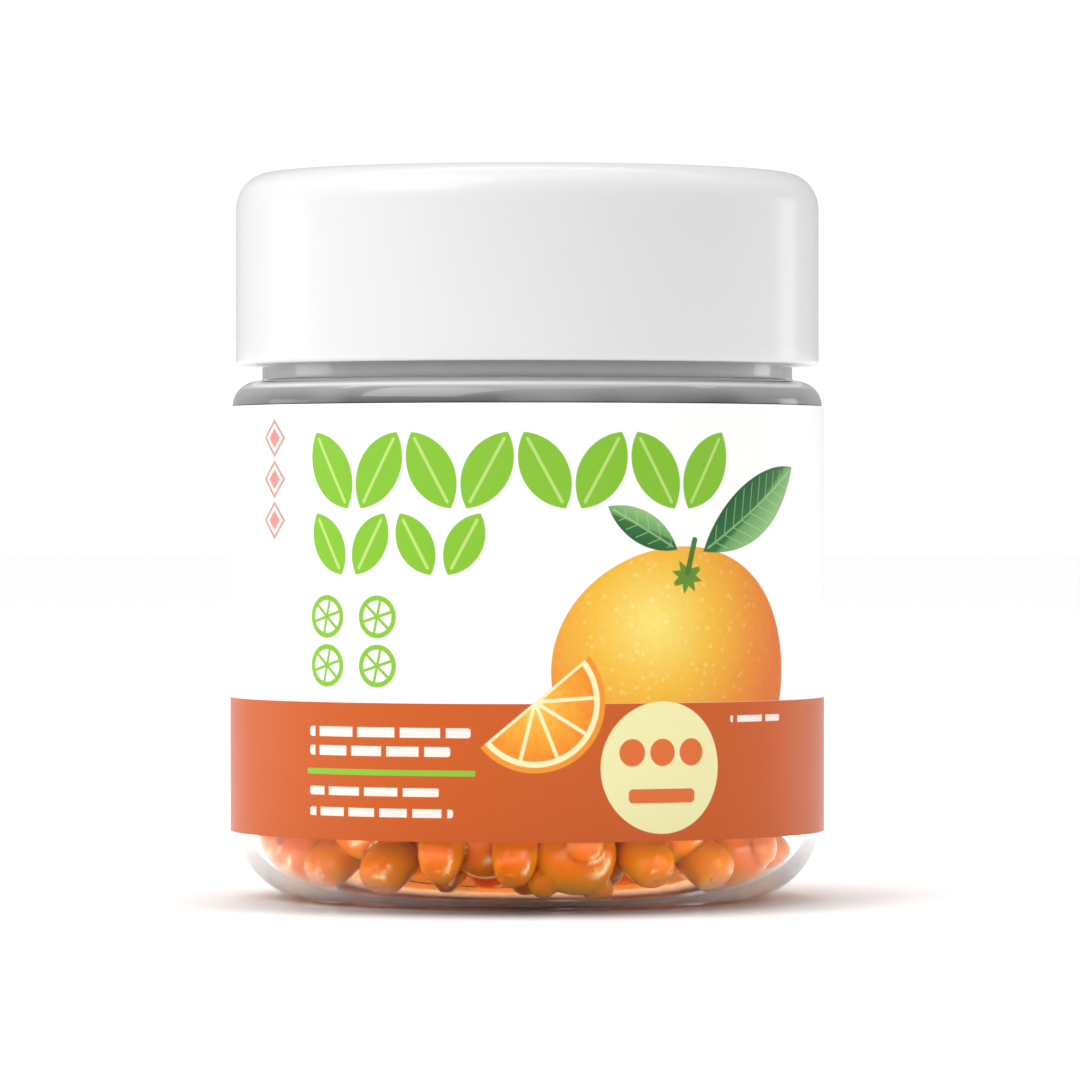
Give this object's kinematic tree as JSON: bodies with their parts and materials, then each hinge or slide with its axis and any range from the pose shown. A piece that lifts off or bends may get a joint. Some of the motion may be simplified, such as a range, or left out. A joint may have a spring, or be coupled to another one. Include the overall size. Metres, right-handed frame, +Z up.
{
  "type": "jar of gummy candy",
  "caption": "Clear wide-mouth plastic jar of small orange gummies, with a tall smooth white screw cap and a wrap-round label.",
  "frame": {"origin": "centre of the jar's flat foot", "axes": "+Z up along the jar's axis, the label's front towards -Y, +X to the right of someone who faces the label"},
  "size_m": [0.065, 0.065, 0.0796],
  "materials": {
    "jar": "glossy clear plastic",
    "lid": "smooth white",
    "label": "satin coated",
    "gummies": "glossy translucent jelly"
  },
  "bodies": {
    "root": {"jar": "jar", "lid": "lid", "label": "label", "gummies": "gummies"}
  },
  "joints": []
}
